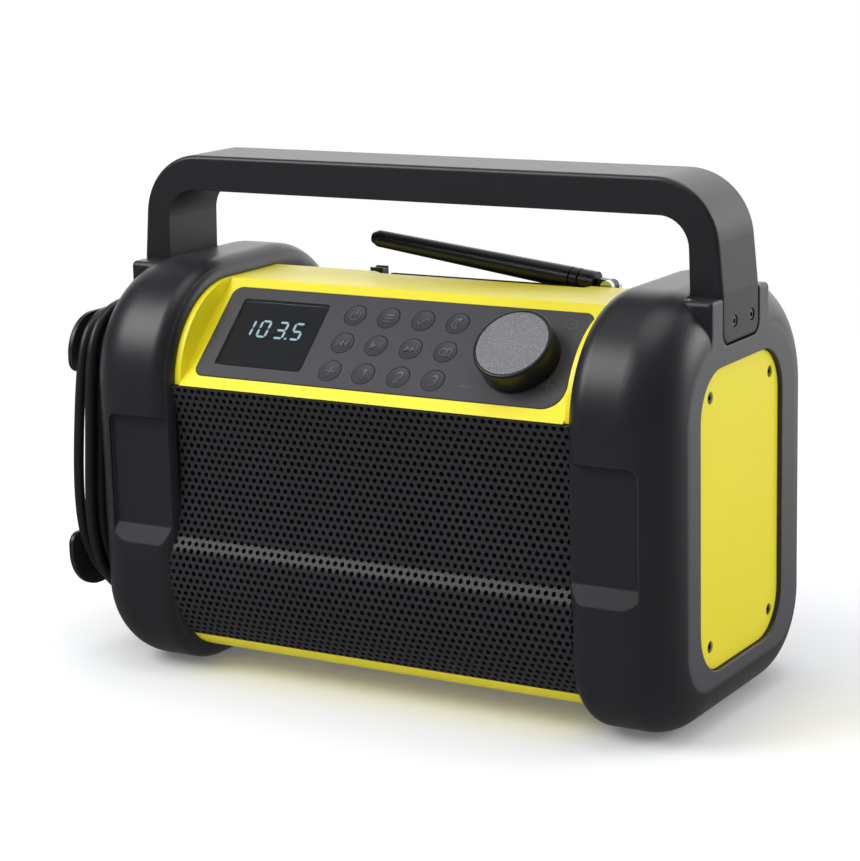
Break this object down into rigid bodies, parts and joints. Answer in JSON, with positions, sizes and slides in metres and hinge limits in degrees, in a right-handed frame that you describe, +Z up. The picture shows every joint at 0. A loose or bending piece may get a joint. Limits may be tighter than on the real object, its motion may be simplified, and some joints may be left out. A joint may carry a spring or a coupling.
{
  "type": "jobsite radio",
  "caption": "Rugged jobsite radio: case between two round-cornered guards, carrying handle, sloping key panel with knob and display, folding antenna, mains lead on hooks.",
  "frame": {"origin": "on the floor, below the middle of the whole radio with its cord hooks, without the mains lead", "axes": "+X along the radio towards the right guard, the front faces -Y, +Z up"},
  "size_m": [0.323, 0.155, 0.2386],
  "materials": {
    "yellow_abs": "moulded yellow ABS, fine satin grain",
    "guard_rubber": "soft-touch dark grey polymer, fine spark-eroded texture",
    "dark_abs": "dark grey moulded ABS, satin",
    "painted_steel_mesh": "perforated steel, black powder coat",
    "panel_black": "black ABS with a fine speckle",
    "display_lens": "smoked acrylic window",
    "key_rubber": "silicone-coated key caps",
    "knob_black": "polished black ABS",
    "knob_cap": "dark grey metallic paint with a sparkle",
    "screw_steel": "blackened steel",
    "antenna_chrome": "chrome plate",
    "antenna_black": "black moulded sleeve",
    "silicone": "silicone rubber",
    "board_green": "solder-masked circuit board",
    "speaker_basket": "pressed steel, black",
    "speaker_paper": "coated paper",
    "magnet_ferrite": "ferrite with plated plates",
    "cell_jacket": "plain jacketed dry cells",
    "cord_rubber": "black PVC-sheathed lead"
  },
  "bodies": {
    "case": {"front_housing": "yellow_abs", "left_end_panel": "yellow_abs", "right_end_panel": "yellow_abs", "left_guard": "guard_rubber", "right_guard": "guard_rubber", "rear_cover": "dark_abs", "battery_door": "dark_abs", "handle_frame": "dark_abs", "handle_cover": "dark_abs", "upper_cord_hook": "dark_abs", "lower_cord_hook": "dark_abs", "antenna_clip": "dark_abs", "battery_tray": "dark_abs", "speaker_grille": "painted_steel_mesh", "control_panel": "panel_black", "display_module": "panel_black", "display_window": "display_lens", "end_panel_screws": "screw_steel", "guard_screws": "screw_steel", "handle_screws": "screw_steel", "housing_screws": "screw_steel", "door_screws": "screw_steel", "speaker_screws": "screw_steel", "encoder_body": "screw_steel", "antenna_base": "antenna_chrome", "keypad_mat": "silicone", "housing_seal": "silicone", "control_board": "board_green", "main_board": "board_green", "power_supply_board": "board_green", "left_speaker_frame": "speaker_basket", "right_speaker_frame": "speaker_basket", "left_speaker_cone": "speaker_paper", "right_speaker_cone": "speaker_paper", "left_speaker_magnet": "magnet_ferrite", "right_speaker_magnet": "magnet_ferrite", "battery_cells": "cell_jacket", "cord_gland": "cord_rubber", "cord_winding": "cord_rubber", "cord_lead": "cord_rubber", "cord_tail": "cord_rubber", "mains_plug": "cord_rubber", "cord_tie": "cord_rubber"},
    "knob": {"volume_knob": "knob_black", "knob_face": "knob_cap", "encoder_shaft": "screw_steel"},
    "antenna_fork": {"antenna_knuckle": "antenna_chrome"},
    "antenna_rod": {"antenna_whip": "antenna_black"},
    "key_power_body": {"key_power": "key_rubber"},
    "key_mode_body": {"key_mode": "key_rubber"},
    "key_bass_body": {"key_bass": "key_rubber"},
    "key_snooze_body": {"key_snooze": "key_rubber"},
    "key_previous_body": {"key_previous": "key_rubber"},
    "key_play_body": {"key_play": "key_rubber"},
    "key_next_body": {"key_next": "key_rubber"},
    "key_stereo_body": {"key_stereo": "key_rubber"},
    "key_preset_body": {"key_preset": "key_rubber"},
    "key_1_body": {"key_1": "key_rubber"},
    "key_2_body": {"key_2": "key_rubber"},
    "key_3_body": {"key_3": "key_rubber"}
  },
  "joints": [
    {"name": "knob_turn", "type": "hinge", "parent": "case", "child": "knob", "pos_m": [0.079, -0.04859, 0.16064], "axis": [0, -0.6863, 0.7273], "continuous": true},
    {"name": "antenna_swivel", "type": "hinge", "parent": "case", "child": "antenna_fork", "pos_m": [0.0855, 0.024, 0.1755], "axis": [0, 0, -1], "range_deg": [0, 90]},
    {"name": "antenna_tilt", "type": "hinge", "parent": "antenna_fork", "child": "antenna_rod", "pos_m": [0.0855, 0.024, 0.1819], "axis": [0, 1, 0], "range_deg": [-4.5, 83]},
    {"name": "press_power", "type": "slide", "parent": "case", "child": "key_power_body", "axis": [0, 0.6863, -0.7273], "range_m": [0, 0.0008], "stiffness_N_per_m": 400},
    {"name": "press_mode", "type": "slide", "parent": "case", "child": "key_mode_body", "axis": [0, 0.6863, -0.7273], "range_m": [0, 0.0008], "stiffness_N_per_m": 400},
    {"name": "press_bass", "type": "slide", "parent": "case", "child": "key_bass_body", "axis": [0, 0.6863, -0.7273], "range_m": [0, 0.0008], "stiffness_N_per_m": 400},
    {"name": "press_snooze", "type": "slide", "parent": "case", "child": "key_snooze_body", "axis": [0, 0.6863, -0.7273], "range_m": [0, 0.0008], "stiffness_N_per_m": 400},
    {"name": "press_previous", "type": "slide", "parent": "case", "child": "key_previous_body", "axis": [0, 0.6863, -0.7273], "range_m": [0, 0.0008], "stiffness_N_per_m": 400},
    {"name": "press_play", "type": "slide", "parent": "case", "child": "key_play_body", "axis": [0, 0.6863, -0.7273], "range_m": [0, 0.0008], "stiffness_N_per_m": 400},
    {"name": "press_next", "type": "slide", "parent": "case", "child": "key_next_body", "axis": [0, 0.6863, -0.7273], "range_m": [0, 0.0008], "stiffness_N_per_m": 400},
    {"name": "press_stereo", "type": "slide", "parent": "case", "child": "key_stereo_body", "axis": [0, 0.6863, -0.7273], "range_m": [0, 0.0008], "stiffness_N_per_m": 400},
    {"name": "press_preset", "type": "slide", "parent": "case", "child": "key_preset_body", "axis": [0, 0.6863, -0.7273], "range_m": [0, 0.0008], "stiffness_N_per_m": 400},
    {"name": "press_1", "type": "slide", "parent": "case", "child": "key_1_body", "axis": [0, 0.6863, -0.7273], "range_m": [0, 0.0008], "stiffness_N_per_m": 400},
    {"name": "press_2", "type": "slide", "parent": "case", "child": "key_2_body", "axis": [0, 0.6863, -0.7273], "range_m": [0, 0.0008], "stiffness_N_per_m": 400},
    {"name": "press_3", "type": "slide", "parent": "case", "child": "key_3_body", "axis": [0, 0.6863, -0.7273], "range_m": [0, 0.0008], "stiffness_N_per_m": 400}
  ]
}
